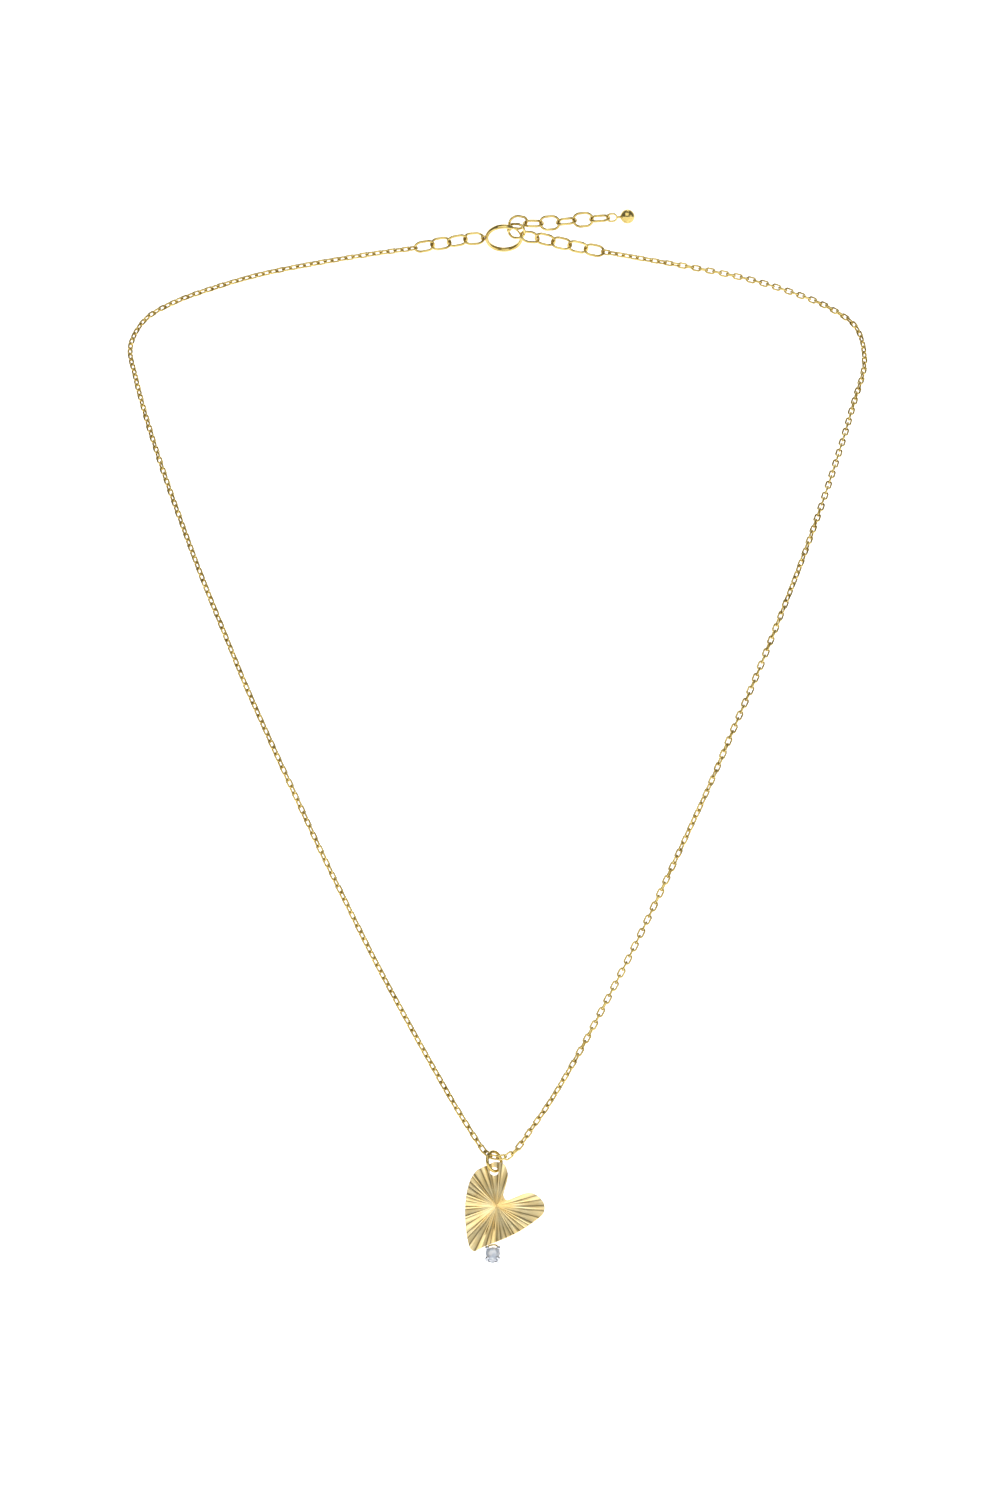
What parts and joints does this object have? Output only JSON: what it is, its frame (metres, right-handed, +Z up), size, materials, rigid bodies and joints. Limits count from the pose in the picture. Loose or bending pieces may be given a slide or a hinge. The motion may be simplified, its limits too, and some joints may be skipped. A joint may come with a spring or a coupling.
{
  "type": "pendant necklace",
  "caption": "Fine gold cable chain with an engraved heart pendant, a small round stone in a claw setting, a spring ring clasp and a short extender.",
  "frame": {"origin": "centre of the clasp ring, where the necklace rests on the nape", "axes": "+Z up, -Y towards the wearer's front, +X to the right of someone facing the wearer"},
  "size_m": [0.1094, 0.0949, 0.1451],
  "materials": {
    "yellow_gold": "polished",
    "bright_gold": "polished",
    "white_metal": "polished",
    "spring_steel": "satin",
    "clear_stone": "gloss"
  },
  "bodies": {
    "worn_chain": {"left_chain_run": "yellow_gold", "right_chain_run": "yellow_gold", "hanging_link": "yellow_gold", "hanging_link_left": "yellow_gold", "hanging_link_right": "yellow_gold"},
    "clasp": {"clasp_ring": "yellow_gold", "clasp_spring": "spring_steel"},
    "bolt": {"clasp_bolt": "yellow_gold", "clasp_trigger": "yellow_gold"},
    "hooked_link": {"hooked_link": "yellow_gold"},
    "left_end_link_1": {"left_end_link_1": "yellow_gold"},
    "left_end_link_2": {"left_end_link_2": "yellow_gold"},
    "left_end_link_3": {"left_end_link_3": "yellow_gold"},
    "left_end_link_4": {"left_end_link_4": "yellow_gold"},
    "right_end_link_1": {"right_end_link_1": "yellow_gold"},
    "right_end_link_2": {"right_end_link_2": "yellow_gold"},
    "right_end_link_3": {"right_end_link_3": "yellow_gold"},
    "right_end_link_4": {"right_end_link_4": "yellow_gold"},
    "right_end_link_5": {"right_end_link_5": "yellow_gold"},
    "extender_link_1": {"extender_link_1": "yellow_gold"},
    "extender_link_2": {"extender_link_2": "yellow_gold"},
    "extender_link_3": {"extender_link_3": "yellow_gold"},
    "extender_link_4": {"extender_link_4": "yellow_gold"},
    "extender_link_5": {"extender_link_5": "yellow_gold"},
    "extender_link_6": {"extender_link_6": "yellow_gold"},
    "end_ball": {"end_ball_loop": "yellow_gold", "end_ball": "yellow_gold"},
    "jump_ring": {"pendant_jump_ring": "yellow_gold"},
    "pendant": {"heart_plate": "bright_gold", "setting_arch": "yellow_gold", "setting_upper_rail": "white_metal", "setting_lower_rail": "white_metal", "setting_prong_1": "white_metal", "setting_prong_2": "white_metal", "setting_prong_3": "white_metal", "setting_prong_4": "white_metal", "stone": "clear_stone"}
  },
  "joints": [
    {"name": "left_end_link_1_twist", "type": "hinge", "parent": "worn_chain", "child": "left_end_link_1", "pos_m": [-0.00453, -0.0001, -0.00009], "axis": [-0.9944, -0.08, -0.0698], "range_deg": [-15, 15]},
    {"name": "left_end_link_2_twist", "type": "hinge", "parent": "worn_chain", "child": "left_end_link_2", "pos_m": [-0.00702, -0.0003, -0.00039], "axis": [-0.9816, -0.079, -0.1736], "range_deg": [-15, 15]},
    {"name": "left_end_link_3_twist", "type": "hinge", "parent": "worn_chain", "child": "left_end_link_3", "pos_m": [-0.0095, -0.0005, -0.00082], "axis": [-0.9831, -0.0791, -0.165], "range_deg": [-15, 15]},
    {"name": "left_end_link_4_twist", "type": "hinge", "parent": "worn_chain", "child": "left_end_link_4", "pos_m": [-0.01198, -0.0007, -0.00124], "axis": [-0.9831, -0.0791, -0.165], "range_deg": [-15, 15]},
    {"name": "clasp_roll", "type": "hinge", "parent": "worn_chain", "child": "clasp", "pos_m": [-0.00328, 0, 0], "axis": [0.9673, -0.2317, 0.1037], "range_deg": [-12, 12]},
    {"name": "hooked_link_turn", "type": "hinge", "parent": "clasp", "child": "hooked_link", "pos_m": [0.00211, -0.00111, 0.00102], "axis": [-0.5814, -0.5999, 0.5497], "range_deg": [-8, 8]},
    {"name": "extender_link_1_swing", "type": "hinge", "parent": "hooked_link", "child": "extender_link_1", "pos_m": [0.00103, -0.00053, 0.00201], "axis": [-0.6706, 0.6053, -0.4289], "range_deg": [-8, 8]},
    {"name": "extender_link_2_swing", "type": "hinge", "parent": "extender_link_1", "child": "extender_link_2", "pos_m": [0.00336, 0.00003, 0.00217], "axis": [0.3721, -0.4091, 0.8332], "range_deg": [-20, 20]},
    {"name": "extender_link_3_swing", "type": "hinge", "parent": "extender_link_2", "child": "extender_link_3", "pos_m": [0.00585, -0.00052, 0.00215], "axis": [-0.1512, -0.9124, -0.3804], "range_deg": [-20, 20]},
    {"name": "extender_link_4_swing", "type": "hinge", "parent": "extender_link_3", "child": "extender_link_4", "pos_m": [0.00833, -0.00091, 0.0024], "axis": [0.1389, 0.3614, -0.922], "range_deg": [-20, 20]},
    {"name": "extender_link_5_swing", "type": "hinge", "parent": "extender_link_4", "child": "extender_link_5", "pos_m": [0.01082, -0.00116, 0.00266], "axis": [0.0581, 0.9264, 0.3719], "range_deg": [-20, 20]},
    {"name": "extender_link_6_swing", "type": "hinge", "parent": "extender_link_5", "child": "extender_link_6", "pos_m": [0.01332, -0.00138, 0.00288], "axis": [-0.113, -0.3641, 0.9245], "range_deg": [-20, 20]},
    {"name": "end_ball_swing", "type": "hinge", "parent": "extender_link_6", "child": "end_ball", "pos_m": [0.01583, -0.0016, 0.00305], "axis": [-0.055, -0.9267, -0.3717], "range_deg": [-20, 20]},
    {"name": "right_end_link_1_twist", "type": "hinge", "parent": "worn_chain", "child": "right_end_link_1", "pos_m": [0.00388, -0.00133, 0.00016], "axis": [0.8856, 0.4618, -0.049], "range_deg": [-8, 8]},
    {"name": "right_end_link_2_twist", "type": "hinge", "parent": "worn_chain", "child": "right_end_link_2", "pos_m": [0.00619, -0.00083, -0.0002], "axis": [0.969, -0.0508, -0.2419], "range_deg": [-15, 15]},
    {"name": "right_end_link_3_twist", "type": "hinge", "parent": "worn_chain", "child": "right_end_link_3", "pos_m": [0.00864, -0.00093, -0.00078], "axis": [0.9757, -0.0341, -0.2164], "range_deg": [-15, 15]},
    {"name": "right_end_link_4_twist", "type": "hinge", "parent": "worn_chain", "child": "right_end_link_4", "pos_m": [0.0111, -0.00102, -0.00132], "axis": [0.9776, -0.0341, -0.2079], "range_deg": [-15, 15]},
    {"name": "right_end_link_5_twist", "type": "hinge", "parent": "worn_chain", "child": "right_end_link_5", "pos_m": [0.01357, -0.00111, -0.00182], "axis": [0.981, -0.0343, -0.1908], "range_deg": [-15, 15]},
    {"name": "clasp_trigger", "type": "hinge", "parent": "clasp", "child": "bolt", "pos_m": [0, 0, 0], "axis": [0, -0.6756, -0.7373], "range_deg": [0, 50], "stiffness_Nm_per_rad": 0.00002, "springref_deg": -11.46, "deforming": ["clasp_spring"]},
    {"name": "pendant_swing", "type": "hinge", "parent": "worn_chain", "child": "jump_ring", "pos_m": [-0.0014, -0.0868, -0.1265], "axis": [1, 0, 0], "range_deg": [0, 60]},
    {"name": "heart_swing", "type": "hinge", "parent": "jump_ring", "child": "pendant", "pos_m": [-0.0014, -0.08747, -0.12834], "axis": [0, -0.9397, 0.342], "range_deg": [-20, 20]}
  ]
}
